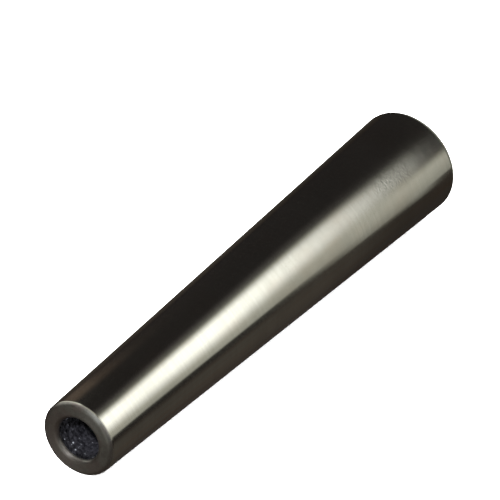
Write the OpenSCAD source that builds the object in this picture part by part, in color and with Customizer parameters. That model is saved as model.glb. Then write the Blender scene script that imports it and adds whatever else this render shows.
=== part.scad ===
// Slim live center on a Morse 5 taper, for a lathe's tailstock.
// The ground taper of the shank carries on over the bearing barrel, and the spindle with the
// 60 degree point turns inside the barrel on a ball, a roller, a thrust and a needle bearing.
// Frame: +X runs along the axis towards the work, +Z is up, and the origin is on the axis at the
// gauge plane of the taper. All lengths are in millimetres.

/* [Taper body] */
// Diameter of the taper at the gauge plane
gauge_d = 44.399; // [44:0.001:45]
// Taper on diameter, per millimetre of length
taper = 0.05263; // [0.05:0.00001:0.055]
// Length from the gauge plane back to the small end
shank_l = 129.5; // [125:0.5:136]
// Length from the gauge plane forward to the front face
barrel_l = 148; // [140:0.5:170]
// Radius of the round on the front rim
rim_round = 3.5; // [1:0.5:4]
// Radius of the round on the small end's edge
tail_round = 2.5; // [0.5:0.1:3]

/* [Drawbar hole] */
// Radius of the round on the hole's mouth
mouth_round = 2.2; // [0.5:0.1:2.5]
// Diameter of the plain counterbore
cbore_d = 21.5; // [20.6:0.1:22]
// Depth of the plain counterbore from the end face
cbore_l = 20; // [12:1:25]
// Minor diameter of the M20 x 2.5 drawbar thread
drawbar_minor_d = 17.5; // [17.3:0.1:18]
// Length of the drawbar thread
drawbar_thread_l = 35; // [25:1:40]
// Included angle of the drill point behind the thread
drill_angle = 118; // [90:1:140]
// Diameter of the knock-out passage
passage_d = 8; // [6:0.5:9]

/* [Front cover and seal] */
// Thread diameter of the cover ring
cover_d = 42; // [41:0.5:43]
// Length of the cover ring
cover_l = 8.5; // [8.5:0.5:10]
// How far the cover ring sits behind the front face
cover_inset = 0.5; // [0:0.1:1]
// Bore of the cover ring's front lip
cover_lip_d = 23; // [22.6:0.1:25]
// Circle of the four pin-spanner holes
spanner_pcd = 37; // [36.6:0.1:37.4]
// Diameter of the pin-spanner holes
spanner_hole_d = 2.5; // [2:0.1:2.8]
// Depth of the pin-spanner holes
spanner_hole_l = 3.5; // [2:0.5:4]
// Diameter of the grub screw on the cover's joint line
lock_screw_d = 3; // [2.5:0.5:3]
// Outside diameter of the radial shaft seal
seal_d = 32; // [31.6:0.1:32]
// Width of the radial shaft seal
seal_w = 6.9; // [6.8:0.1:6.9]

/* [Spindle] */
// Diameter of the collar that carries the seal and the point
collar_d = 22; // [21.8:0.1:22]
// Length of the collar in front of the cover ring
collar_out = 2; // [1:0.5:4]
// Included angle of the point
point_angle = 60; // [60:1:90]
// Diameter of the flat on the very tip
tip_d = 0.4; // [0.2:0.1:1]
// Diameter of the seat for the two front bearings
seat_d = 20; // [19.8:0.1:20]
// Diameter of the seat for the thrust bearing
thrust_seat_d = 17; // [16.8:0.1:17]
// Diameter of the tail that runs in the needle bearing
tail_d = 15; // [14.8:0.1:15]

/* [Front bearings] */
// Outside diameter of both front bearings
front_bearing_d = 37; // [36.8:0.1:37.2]
// Width of the ball bearing
ball_bearing_w = 9; // [8.5:0.1:9]
// Diameter of the front balls
front_ball_d = 4.76; // [4.5:0.01:4.8]
// Number of front balls
front_ball_n = 11; // [8:1:12]
// Width of the roller bearing
roller_bearing_w = 17; // [16:0.5:18]
// Diameter of the front rollers
roller_d = 3; // [2.8:0.1:3]
// Length of the front rollers
roller_l = 13; // [11:0.5:13]
// Number of front rollers
roller_n = 18; // [12:1:20]
// Height of the wave spring between the cover ring and the ball bearing
spring_l = 2; // [1.5:0.1:2.5]
// Number of waves round the spring
spring_waves = 4; // [3:1:6]

/* [Thrust and tail bearings] */
// Outside diameter of the thrust bearing
thrust_d = 30; // [29.5:0.1:30]
// Height of the thrust bearing
thrust_h = 9; // [8.8:0.1:9.2]
// Diameter of the thrust balls
thrust_ball_d = 4.76; // [4.5:0.01:4.9]
// Number of thrust balls
thrust_ball_n = 12; // [8:1:12]
// Outside diameter of the drawn-cup needle bearing
needle_cup_d = 21; // [21:0.1:22]
// Length of the needle bearing
needle_cup_l = 16; // [14:1:18]
// Diameter of the needles
needle_d = 2; // [1.9:0.1:2]
// Number of needles
needle_n = 14; // [10:1:16]
// Distance from the thrust bearing's seat back to the needle bearing
tail_span = 34; // [20:1:40]

/* [Locknut and plug] */
// Outside diameter of the spindle's locknut
nut_d = 28; // [27:0.5:29]
// Width of the locknut
nut_w = 6; // [5:0.5:7]
// Diameter of the socket plug in the passage
plug_d = 10; // [9.5:0.5:12]
// Length of the socket plug
plug_l = 10; // [8:1:14]

/* [Hidden] */
$fn = 96;

run = 0.02;            // gap between a rolling element and its race
pocket_gap = 0.1;      // gap round a rolling element in its cage
thread_gap = 0.05;     // radial gap of a thread drawn as plain cylinders
over = 1;              // how far a cutting tool reaches past the metal
edge = 0.4;            // chamfer on ring edges
osculation = 0.52;     // ball groove radius over ball diameter
shoulder = 1;          // small steps and clearances along the axis
socket_share = 0.58;   // width of a hexagon socket across its corners, over the screw's diameter

// Stations along the axis, from the front face back.
front_x = barrel_l;
small_x = -shank_l;
cover_x1 = front_x - cover_inset;
cover_x0 = cover_x1 - cover_l;
ball_x1 = cover_x0 - spring_l;
ball_x0 = ball_x1 - ball_bearing_w;
roller_x1 = ball_x0;
roller_x0 = roller_x1 - roller_bearing_w;
outer_shift = 0.3;     // the roller outer ring sits this far back, clear of the ball bearing
lock_washer_t = 1;     // thickness of the tab washer
nut_x1 = roller_x0 - lock_washer_t;
nut_x0 = nut_x1 - nut_w;
thrust_x1 = nut_x0 - shoulder;
thrust_x0 = thrust_x1 - thrust_h;
needle_x1 = thrust_x0 - tail_span;
needle_x0 = needle_x1 - needle_cup_l;
chamber_x0 = needle_x0 - 2 * shoulder;
plug_x1 = chamber_x0 - shoulder;
plug_x0 = plug_x1 - plug_l;
plug_hole_x0 = plug_x0 - shoulder;
cbore_x1 = small_x + cbore_l;
drawbar_x1 = cbore_x1 + drawbar_thread_l;
point_x0 = cover_x1 + collar_out;
point_l = (collar_d - tip_d) / 2 / tan(point_angle / 2);

// Bearing pitch circles and shoulders, as radii.
ball_pitch_r = (front_bearing_d + seat_d) / 4;
ball_cage_half = 1.1;  // half the cage's thickness, across the pitch circle
ball_ring_gap = 1.5;   // from the pitch circle to the shoulder of either ring
ball_inner_r = ball_pitch_r - ball_ring_gap;
ball_outer_r = ball_pitch_r + ball_ring_gap;
roller_inner_r = 12.5;
roller_pitch_r = roller_inner_r + roller_d / 2 + run;
roller_track_r = roller_pitch_r + roller_d / 2 + run;
roller_rib_r = 14.7;   // inner radius of the outer ring's two ribs
thrust_pitch_r = 12;
thrust_washer_t = 3;   // thickness of each thrust washer
needle_pitch_r = tail_d / 2 + needle_d / 2 + run;
needle_track_r = needle_pitch_r + needle_d / 2 + run;
needle_lip_t = 0.8;    // sheet thickness of the cup's turned-in ends

// Cover ring details.
cover_r = cover_d / 2;
seal_gap = 0.1;        // end play of the seal in its pocket
pocket_x1 = cover_x0 + seal_w + seal_gap;
o_ring_x = cover_x0 + 2.3;
o_ring_d = 1.26;       // drawn as squeezed, just under the groove's depth
o_groove_depth = 1.25;
o_groove_r = cover_r - o_groove_depth;
o_groove_w = 2;
lock_screw_x0 = cover_x0 + 4;
lock_screw_l = 4;

// Nut, tab washer and keyway.
keyway_w = 4;          // also the width of the nut's four slots
keyway_depth = 1.5;
tab_w = 3.6;           // width of the washer's two tabs

// Radius of the ground taper at station x.
function flank_r(x) = gauge_d / 2 + taper / 2 * x;

// ---------- shared shapes ----------

// Turns the Z axis of its children onto +X and moves them to station x.
module on_axis(x = 0) {
    translate([x, 0, 0]) rotate([0, 90, 0]) children();
}

// Solid round bar from station x0 to x1.
module bar(d, x0, x1) {
    on_axis(x0) cylinder(d = d, h = x1 - x0);
}

// Turned solid from an outline of [radius, station] points; other children are cut from it.
module turned(outline) {
    on_axis() rotate_extrude() difference() {
        polygon(outline);
        if ($children > 0) children();
    }
}

// Outline of a ring with chamfered edges.
function ring_outline(r0, r1, x0, x1, c = edge) = [
    [r0 + c, x0], [r1 - c, x0], [r1, x0 + c], [r1, x1 - c],
    [r1 - c, x1], [r0 + c, x1], [r0, x1 - c], [r0, x0 + c]
];

// Outline of a ring with square edges.
function square_outline(r0, r1, x0, x1) = [[r0, x0], [r1, x0], [r1, x1], [r0, x1]];

// Places its children n times round the axis, at the given radius, first one at the top.
module around(n, r) {
    for (i = [0 : n - 1]) rotate([i * 360 / n, 0, 0]) translate([0, 0, r]) children();
}

// A set of balls on one pitch circle.
module balls(n, r, x, d) {
    around(n, r) translate([x, 0, 0]) sphere(d = d);
}

// A set of rollers with chamfered ends, parallel to the axis.
module rollers(n, r, x0, x1, d) {
    c = 0.15 * d;
    around(n, r) on_axis() rotate_extrude()
        polygon([[0, x0], [d / 2 - c, x0], [d / 2, x0 + c], [d / 2, x1 - c], [d / 2 - c, x1], [0, x1]]);
}

// ---------- body ----------

// Tool that rounds the outer edge where the flank meets the face at station x.
// side is 1 for the front face and -1 for the small end's face.
module edge_tool(x, radius, side) {
    slope = taper / 2;
    cx = x - side * radius;
    cr = flank_r(cx) - radius * sqrt(1 + slope * slope);
    difference() {
        translate([cr, side > 0 ? cx : cx - 2 * radius]) square(2 * radius);
        translate([cr, cx]) circle(r = radius);
    }
}

module taper_blank() {
    turned([[0, small_x], [flank_r(small_x), small_x], [flank_r(front_x), front_x], [0, front_x]]) {
        edge_tool(front_x, rim_round, 1);
        edge_tool(small_x, tail_round, -1);
    }
}

// Rounded mouth, rough counterbore, drawbar thread with its drill point, and knock-out passage.
module drawbar_hole() {
    mouth_r = cbore_d / 2 + mouth_round;
    on_axis() rotate_extrude() difference() {
        translate([0, small_x - over]) square([mouth_r, mouth_round + over]);
        translate([mouth_r, small_x + mouth_round]) circle(r = mouth_round);
    }
    bar(cbore_d, small_x - over, cbore_x1);
    bar(drawbar_minor_d, cbore_x1 - over, drawbar_x1);
    drill_l = drawbar_minor_d / 2 / tan(drill_angle / 2);
    on_axis(drawbar_x1) cylinder(d1 = drawbar_minor_d, d2 = 0, h = drill_l);
    bar(passage_d, cbore_x1, plug_hole_x0 + over);
    bar(plug_d + 2 * thread_gap, plug_hole_x0, chamber_x0 + over);
}

// Stepped bore for the bearings, open at the front.
module bearing_bore() {
    bar(cover_d + 2 * thread_gap, cover_x0, front_x + over);
    bar(front_bearing_d, roller_x0 - outer_shift, front_x);
    bar(thrust_d + 2 * shoulder, thrust_x0 + thrust_washer_t + shoulder, front_x);
    bar(thrust_d, thrust_x0, front_x);
    bar(needle_cup_d, chamber_x0, front_x);
}

// Drilled half in the cover ring and half in the body, for the lock screw.
module lock_hole() {
    translate([0, 0, cover_r]) bar(lock_screw_d + 2 * run, lock_screw_x0, front_x + over);
}

module taper_body() {
    color("dimgray") difference() {
        taper_blank();
        drawbar_hole();
        bearing_bore();
        lock_hole();
    }
}

module knockout_plug() {
    hex_d = socket_share * plug_d;
    color("darkslategray") difference() {
        turned([[0, plug_x0], [plug_d / 2 - shoulder, plug_x0], [plug_d / 2, plug_x0 + shoulder],
                [plug_d / 2, plug_x1 - edge], [plug_d / 2 - edge, plug_x1], [0, plug_x1]]);
        on_axis(plug_x1 - plug_l / 2) cylinder(d = hex_d, h = plug_l, $fn = 6);
    }
}

// ---------- front cover and seal ----------

module cover_ring() {
    lip_r = cover_lip_d / 2;
    pocket_r = seal_d / 2;
    color("silver") difference() {
        turned([[pocket_r + edge, cover_x0], [cover_r - edge, cover_x0], [cover_r, cover_x0 + edge],
                [cover_r, cover_x1 - edge], [cover_r - edge, cover_x1], [lip_r + edge, cover_x1],
                [lip_r, cover_x1 - edge], [lip_r, pocket_x1], [pocket_r, pocket_x1],
                [pocket_r, cover_x0 + edge]])
            translate([o_groove_r, o_ring_x - o_groove_w / 2]) square([o_groove_w, o_groove_w]);
        rotate([45, 0, 0]) around(4, spanner_pcd / 2)
            bar(spanner_hole_d, cover_x1 - spanner_hole_l, cover_x1 + over);
        lock_hole();
    }
}

module cover_o_ring() {
    color("black") on_axis(o_ring_x) rotate_extrude()
        translate([o_groove_r + o_ring_d / 2 + run, 0]) circle(d = o_ring_d, $fn = 32);
}

module cover_lock_screw() {
    hex_d = socket_share * lock_screw_d;
    color("darkslategray") translate([0, 0, cover_r]) difference() {
        bar(lock_screw_d, lock_screw_x0, lock_screw_x0 + lock_screw_l);
        on_axis(lock_screw_x0 + lock_screw_l / 2) cylinder(d = hex_d, h = lock_screw_l, $fn = 6);
    }
}

seal_t = 0.8;                         // sheet thickness of the seal's case
seal_x1 = pocket_x1 - seal_gap;       // front face of the seal
seal_x0 = seal_x1 - seal_w + 2 * seal_gap;
lip_edge_r = collar_d / 2 + 0.05;     // sealing edge, just clear of the turning collar
web_r = lip_edge_r + 1.95;            // inner edge of the case's web
garter_d = 1.2;                       // thickness of the garter spring
garter_x = seal_x1 - 4.6;
garter_r = web_r + 0.1;

module seal_case() {
    r1 = seal_d / 2;
    color("gray") turned([[r1 - seal_t, seal_x0], [r1, seal_x0], [r1, seal_x1 - edge], [r1 - edge, seal_x1],
                          [web_r, seal_x1], [web_r, seal_x1 - seal_t], [r1 - seal_t, seal_x1 - seal_t]]);
}

// Dust lip at the front, sealing lip behind it, and a groove for the garter spring on its back.
module seal_lip() {
    hollow_r = lip_edge_r + 0.9;      // clear of the collar between the two lips
    waist_r = web_r - 0.2;            // thin waist that lets the lip flex
    back_r = web_r + 0.2;             // back of the lip, round the garter spring
    back_x = seal_x1 - 5.6;
    dust_x = seal_x1 - 0.4;           // edge of the dust lip
    edge_x = seal_x1 - 4.3;           // edge of the sealing lip
    flat = 0.1;                       // half the worn-in width of each edge
    color("saddlebrown") turned([
        [web_r, seal_x1], [lip_edge_r + 0.5, seal_x1], [lip_edge_r, dust_x + flat],
        [lip_edge_r, dust_x - flat], [hollow_r, seal_x1 - 1.4], [hollow_r, seal_x1 - 3.2],
        [lip_edge_r, edge_x + flat], [lip_edge_r, edge_x - flat], [hollow_r, back_x],
        [back_r, back_x], [back_r, seal_x1 - 3.7], [waist_r, seal_x1 - 3.3],
        [waist_r, seal_x1 - seal_t - 0.3], [web_r, seal_x1 - seal_t]])
        translate([garter_r, garter_x]) circle(d = garter_d, $fn = 32);
}

module seal_garter_spring() {
    color("lightgray") on_axis(garter_x) rotate_extrude()
        translate([garter_r, 0]) circle(d = garter_d, $fn = 32);
}

// Flat strip bent into waves round a circle, one wave crest on each face in turn.
module preload_wave_spring() {
    steps = 30 * spring_waves;
    strip_t = 0.5;
    clearance = 0.3;                  // from the seal inside it and the bore outside it
    r0 = seal_d / 2 + clearance;
    r1 = front_bearing_d / 2 - clearance;
    swing = (spring_l - strip_t) / 2 - run;
    mid_x = (ball_x1 + cover_x0) / 2;
    function crest(i) = mid_x + swing * cos(spring_waves * i * 360 / steps);
    function rim_point(i, r, dx) = [crest(i) + dx, r * sin(i * 360 / steps), r * cos(i * 360 / steps)];
    points = [for (i = [0 : steps - 1]) each [
        rim_point(i, r0, -strip_t / 2), rim_point(i, r1, -strip_t / 2),
        rim_point(i, r1, strip_t / 2), rim_point(i, r0, strip_t / 2)]];
    faces = [for (i = [0 : steps - 1], k = [0 : 3])
        let (a = 4 * i, b = 4 * ((i + 1) % steps), m = (k + 1) % 4) [a + k, b + k, b + m, a + m]];
    color("steelblue") polyhedron(points, faces);
}

// ---------- spindle ----------

module center_spindle() {
    tail_x0 = chamber_x0 + 1.5 * shoulder;
    step_x = thrust_x0 - shoulder;
    collar_r = collar_d / 2;
    seat_r = seat_d / 2;
    tail_r = tail_d / 2;
    thrust_r = thrust_seat_d / 2;
    color("gainsboro") difference() {
        turned([[0, tail_x0], [tail_r - shoulder, tail_x0], [tail_r, tail_x0 + shoulder],
                [tail_r, step_x - shoulder],
                [thrust_r, step_x], [thrust_r, thrust_x1], [seat_r - edge, thrust_x1],
                [seat_r, thrust_x1 + edge], [seat_r, ball_x1], [collar_r, ball_x1],
                [collar_r, point_x0], [tip_d / 2, point_x0 + point_l], [0, point_x0 + point_l]]);
        translate([thrust_x1 - over, -keyway_w / 2, seat_r - keyway_depth])
            cube([roller_x0 - thrust_x1 + 1.5 * shoulder + over, keyway_w, keyway_depth + over]);
    }
}

module spindle_lock_washer() {
    seat_r = seat_d / 2;
    outer_r = nut_d / 2 - 0.5;
    play = 0.1;                       // between the inner tab and the keyway's floor
    overlap = 0.4;                    // how far each tab runs into the washer
    color("lightsteelblue") {
        difference() {
            bar(2 * outer_r, nut_x1, roller_x0);
            bar(seat_d, nut_x1 - over, roller_x0 + over);
        }
        translate([nut_x1, -tab_w / 2, seat_r - keyway_depth + play])
            cube([lock_washer_t, tab_w, keyway_depth + overlap]);
        translate([nut_x1 - nut_w / 2, -tab_w / 2, outer_r - 3 * overlap])
            cube([nut_w / 2 + lock_washer_t, tab_w, lock_washer_t]);
    }
}

module spindle_locknut() {
    slot_depth = 2;
    color("darkgray") difference() {
        turned(ring_outline(seat_d / 2, nut_d / 2, nut_x0, nut_x1));
        around(4, nut_d / 2 - slot_depth)
            translate([nut_x0 - over, -keyway_w / 2, 0])
                cube([nut_w + 2 * over, keyway_w, slot_depth + over]);
    }
}

// ---------- front ball bearing ----------

ball_mid_x = (ball_x0 + ball_x1) / 2;
front_groove_r = osculation * front_ball_d;
front_groove_shift = front_groove_r - front_ball_d / 2 - run;

module front_ball_outer_ring() {
    color("silver") turned(ring_outline(ball_outer_r, front_bearing_d / 2, ball_x0, ball_x1))
        translate([ball_pitch_r - front_groove_shift, ball_mid_x]) circle(r = front_groove_r);
}

module front_ball_inner_ring() {
    color("silver") turned(ring_outline(seat_d / 2, ball_inner_r, ball_x0, ball_x1))
        translate([ball_pitch_r + front_groove_shift, ball_mid_x]) circle(r = front_groove_r);
}

module front_balls() {
    color("white") balls(front_ball_n, ball_pitch_r, ball_mid_x, front_ball_d);
}

module front_ball_cage() {
    side_wall = 0.9;                  // cage left on each side of a ball
    half_w = front_ball_d / 2 + side_wall;
    color("goldenrod") difference() {
        turned(square_outline(ball_pitch_r - ball_cage_half, ball_pitch_r + ball_cage_half,
                              ball_mid_x - half_w, ball_mid_x + half_w));
        balls(front_ball_n, ball_pitch_r, ball_mid_x, front_ball_d + 2 * pocket_gap);
    }
}

// ---------- front roller bearing ----------

roller_mid_x = (roller_x0 + roller_x1) / 2;
roller_start = roller_mid_x - roller_l / 2;
roller_end = roller_mid_x + roller_l / 2;
rib_gap = 0.5;         // end play of the rollers between the ribs

module front_roller_outer_ring() {
    color("silver") turned(ring_outline(roller_rib_r, front_bearing_d / 2,
                                        roller_x0 - outer_shift, roller_x1 - outer_shift))
        translate([roller_rib_r - over, roller_start - rib_gap])
            square([roller_track_r - roller_rib_r + over, roller_l + 2 * rib_gap]);
}

module front_roller_inner_ring() {
    color("silver") turned(ring_outline(seat_d / 2, roller_inner_r, roller_x0, roller_x1));
}

module front_rollers() {
    color("white") rollers(roller_n, roller_pitch_r, roller_start, roller_end, roller_d);
}

module front_roller_cage() {
    end_t = 1.2;                      // cage left past each end of the rollers
    inner_gap = 0.5;
    rib_clearance = 0.25;
    color("slategray") difference() {
        turned(square_outline(roller_inner_r + inner_gap, roller_rib_r - rib_clearance,
                              roller_start - pocket_gap - end_t, roller_end + pocket_gap + end_t));
        around(roller_n, roller_pitch_r)
            bar(roller_d + 2 * pocket_gap, roller_start - pocket_gap, roller_end + pocket_gap);
    }
}

// ---------- thrust ball bearing ----------

thrust_mid_x = (thrust_x0 + thrust_x1) / 2;
thrust_groove_r = osculation * thrust_ball_d;
thrust_groove_shift = thrust_groove_r - thrust_ball_d / 2 - run;

module thrust_shaft_washer() {
    color("silver") turned(ring_outline(thrust_seat_d / 2, thrust_d / 2,
                                        thrust_x1 - thrust_washer_t, thrust_x1))
        translate([thrust_pitch_r, thrust_mid_x - thrust_groove_shift]) circle(r = thrust_groove_r);
}

module thrust_housing_washer() {
    spindle_gap = 0.5;
    color("silver") turned(ring_outline(thrust_seat_d / 2 + spindle_gap, thrust_d / 2,
                                        thrust_x0, thrust_x0 + thrust_washer_t))
        translate([thrust_pitch_r, thrust_mid_x + thrust_groove_shift]) circle(r = thrust_groove_r);
}

module thrust_balls() {
    color("white") balls(thrust_ball_n, thrust_pitch_r, thrust_mid_x, thrust_ball_d);
}

module thrust_ball_cage() {
    washer_gap = 0.4;
    spindle_gap = 0.7;
    half_t = thrust_h / 2 - thrust_washer_t - washer_gap;
    color("goldenrod") difference() {
        turned(square_outline(thrust_seat_d / 2 + spindle_gap, thrust_d / 2 - washer_gap,
                              thrust_mid_x - half_t, thrust_mid_x + half_t));
        balls(thrust_ball_n, thrust_pitch_r, thrust_mid_x, thrust_ball_d + 2 * pocket_gap);
    }
}

// ---------- tail needle bearing ----------

needle_margin = 1.2;                  // room for the cage between a needle's end and the lip
needle_start = needle_x0 + needle_lip_t + needle_margin;
needle_end = needle_x1 - needle_lip_t - needle_margin;

// Drawn sheet cup with both ends turned in over the needles.
module tail_needle_cup() {
    cup_r = needle_cup_d / 2;
    lip_r = needle_pitch_r - 0.4;     // the turned-in ends reach past the needles' middle
    color("silver") turned([
        [lip_r, needle_x0], [cup_r - edge, needle_x0], [cup_r, needle_x0 + edge], [cup_r, needle_x1 - edge],
        [cup_r - edge, needle_x1], [lip_r, needle_x1], [lip_r, needle_x1 - needle_lip_t],
        [needle_track_r, needle_x1 - needle_lip_t], [needle_track_r, needle_x0 + needle_lip_t],
        [lip_r, needle_x0 + needle_lip_t]]);
}

module tail_needles() {
    color("white") rollers(needle_n, needle_pitch_r, needle_start, needle_end, needle_d);
}

module tail_needle_cage() {
    end_t = 0.9;                      // cage left past each end of the needles
    inside = 0.7;                     // cage inside and outside the pitch circle
    outside = 0.5;
    color("slategray") difference() {
        turned(square_outline(needle_pitch_r - inside, needle_pitch_r + outside,
                              needle_start - pocket_gap - end_t, needle_end + pocket_gap + end_t));
        around(needle_n, needle_pitch_r)
            bar(needle_d + 2 * pocket_gap, needle_start - pocket_gap, needle_end + pocket_gap);
    }
}

taper_body();
cover_ring();
cover_o_ring();
cover_lock_screw();
seal_case();
seal_lip();
seal_garter_spring();
preload_wave_spring();
front_ball_outer_ring();
front_roller_outer_ring();
thrust_housing_washer();
tail_needle_cup();
knockout_plug();
center_spindle();
front_ball_inner_ring();
front_roller_inner_ring();
spindle_lock_washer();
spindle_locknut();
thrust_shaft_washer();
front_balls();
front_ball_cage();
front_rollers();
front_roller_cage();
thrust_balls();
thrust_ball_cage();
tail_needles();
tail_needle_cage();
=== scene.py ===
import math

import bmesh
import bpy
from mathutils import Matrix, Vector, noise


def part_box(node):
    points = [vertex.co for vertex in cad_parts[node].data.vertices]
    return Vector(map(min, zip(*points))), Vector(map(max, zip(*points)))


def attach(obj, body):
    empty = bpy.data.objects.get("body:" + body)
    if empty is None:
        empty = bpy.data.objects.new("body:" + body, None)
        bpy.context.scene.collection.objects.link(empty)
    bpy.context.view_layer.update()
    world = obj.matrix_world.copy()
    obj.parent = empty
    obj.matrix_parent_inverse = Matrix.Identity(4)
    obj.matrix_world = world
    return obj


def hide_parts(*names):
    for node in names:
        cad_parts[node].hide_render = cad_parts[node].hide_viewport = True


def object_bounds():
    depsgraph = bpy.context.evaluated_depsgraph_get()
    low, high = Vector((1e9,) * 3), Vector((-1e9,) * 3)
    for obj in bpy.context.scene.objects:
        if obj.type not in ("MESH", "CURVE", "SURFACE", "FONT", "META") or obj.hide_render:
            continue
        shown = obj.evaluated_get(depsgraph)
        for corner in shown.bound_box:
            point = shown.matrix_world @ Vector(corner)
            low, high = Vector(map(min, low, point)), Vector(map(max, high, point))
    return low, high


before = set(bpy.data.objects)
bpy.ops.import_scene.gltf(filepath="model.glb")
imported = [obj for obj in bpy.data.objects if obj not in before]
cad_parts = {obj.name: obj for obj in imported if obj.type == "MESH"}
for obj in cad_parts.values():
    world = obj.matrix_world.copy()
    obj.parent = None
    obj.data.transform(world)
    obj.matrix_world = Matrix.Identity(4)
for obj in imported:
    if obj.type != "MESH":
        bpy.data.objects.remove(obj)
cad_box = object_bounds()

# ---------- sizes ----------
# Stations are along +X from the gauge plane and radii are about the X axis, all in metres.

MM = 0.001


def stations(node):
    """Lowest and highest station of a CAD node."""
    low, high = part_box(node)
    return low.x, high.x


def outer_radius(node):
    """Largest radius of a CAD node that is round about the axis."""
    low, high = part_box(node)
    return max(high.y, high.z, -low.z)


SLOPE = 0.05263 / 2              # rise of the flank's radius along the axis, a Morse 5 taper
RIM_ROUND = 3.5 * MM
TAIL_ROUND = 2.5 * MM
SMALL_X, FRONT_X = stations("taper_body")
LENGTH = cad_box[1].x - cad_box[0].x
LEAN = math.sqrt(1 + SLOPE * SLOPE)
GAUGE_R = outer_radius("taper_body") + RIM_ROUND * (LEAN - 1) - SLOPE * (FRONT_X - RIM_ROUND)

MOUTH_ROUND = 2.2 * MM
CBORE_R = 10.75 * MM
CBORE_L = 20 * MM
THREAD_MAJOR_R = 10 * MM
THREAD_MINOR_R = 8.75 * MM
THREAD_PITCH = 2.5 * MM
THREAD_L = 35 * MM
THREAD_CREST = 0.25              # share of the pitch that the flat crest takes
THREAD_FLANK = 0.3125            # and that each flank takes; the root has the rest
LUMP_DEPTH = 0.3 * MM            # unevenness of the scaled counterbore, coarse and fine
GRIT_DEPTH = 0.14 * MM
LUMPS_PER_M = 480
GRITS_PER_M = 1300
DRILL_HALF_ANGLE = math.radians(59)
PASSAGE_R = 4 * MM
SLIP = 0.05 * MM                 # radial gap round the plug and the cover ring
LOCK_HOLE_R = 1.52 * MM
COVER_X0, COVER_X1 = stations("cover_ring")
COVER_R = outer_radius("cover_ring")
COVER_LIP_R = 11.5 * MM
GROOVE_MIDDLE = COVER_X0 + 2.3 * MM
GROOVE_W = 2 * MM
GROOVE_DEPTH = 1.25 * MM
LOCK_X0 = stations("cover_lock_screw")[0]
SPANNER_R = 1.25 * MM
SPANNER_L = 3.5 * MM
SPANNER_CIRCLE_R = 18.5 * MM
SPANNER_HOLES = 4
GARTER_X0, GARTER_X1 = stations("seal_garter_spring")
GARTER_R = outer_radius("seal_garter_spring")

TURNED_STEPS = 192               # faces round a large turned piece
HOLE_STEPS = 32                  # faces round a small hole
SHARP_ANGLE = 32                 # degrees between two faces past which their edge is sharp


def flank_radius(x):
    return GAUGE_R + SLOPE * x


# ---------- mesh tools ----------

def round_angles(count, dense_at=(), dense_width=0.0, dense_count=0):
    """Angles round the axis from +Z, with extra ones packed about the given angles."""
    found = [2 * math.pi * i / count for i in range(count)]
    for middle in dense_at:
        for i in range(dense_count):
            share = i / (dense_count - 1) - 0.5
            found.append((middle + share * dense_width) % (2 * math.pi))
    return sorted({round(a, 7) for a in found})


def at_angle(x, radius, angle):
    return Vector((x, radius * math.sin(angle), radius * math.cos(angle)))


def turned_mesh(rows, angles, closed=True):
    """A mesh swept round the axis. Each row is (x, radius, material index of the band after it),
    and x and radius may be functions of the angle."""
    made = bmesh.new()
    rings = []
    for x, radius, _ in rows:
        ring = []
        for angle in angles:
            station = x(angle) if callable(x) else x
            reach = radius(angle) if callable(radius) else radius
            ring.append(made.verts.new(at_angle(station, reach, angle)))
        rings.append(ring)
    bands = len(rows) if closed else len(rows) - 1
    for k in range(bands):
        near, far = rings[k], rings[(k + 1) % len(rows)]
        for i in range(len(angles)):
            j = (i + 1) % len(angles)
            face = made.faces.new((near[i], near[j], far[j], far[i]))
            face.material_index = rows[k][2]
            face.smooth = True
    bmesh.ops.remove_doubles(made, verts=made.verts, dist=1e-7)
    bmesh.ops.recalc_face_normals(made, faces=made.faces)
    return made


def add_piece(name, made, materials, sharp_angle=SHARP_ANGLE):
    """Turns a bmesh into a shown object with its materials."""
    mesh = bpy.data.meshes.new(name)
    made.to_mesh(mesh)
    made.free()
    mesh.set_sharp_from_angle(angle=math.radians(sharp_angle))
    for material in materials:
        mesh.materials.append(material)
    piece = bpy.data.objects.new(name, mesh)
    bpy.context.scene.collection.objects.link(piece)
    return piece


def carve(piece, cutters):
    """Cuts closed bmeshes out of a piece."""
    for made in cutters:
        cutter = add_piece("cutter", made, [])
        cut = piece.modifiers.new("cut", "BOOLEAN")
        cut.operation = "DIFFERENCE"
        cut.solver = "EXACT"
        cut.object = cutter
        cut.material_mode = "INDEX"
        graph = bpy.context.evaluated_depsgraph_get()
        carved = bpy.data.meshes.new_from_object(piece.evaluated_get(graph))
        piece.modifiers.clear()
        piece.data = carved
        bpy.data.objects.remove(cutter)
    piece.data.set_sharp_from_angle(angle=math.radians(SHARP_ANGLE))


def stand_for(piece, node, body):
    """The piece is shown in place of a CAD node, on that node's body."""
    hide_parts(node)
    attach(piece, body)


def arc(centre_x, centre_r, radius, start, end, steps):
    """Points (x, r) along an arc; angles are in degrees from +X towards the outside."""
    found = []
    for i in range(steps + 1):
        angle = math.radians(start + (end - start) * i / steps)
        found.append((centre_x + radius * math.cos(angle), centre_r + radius * math.sin(angle)))
    return found


# ---------- node tools ----------

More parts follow.
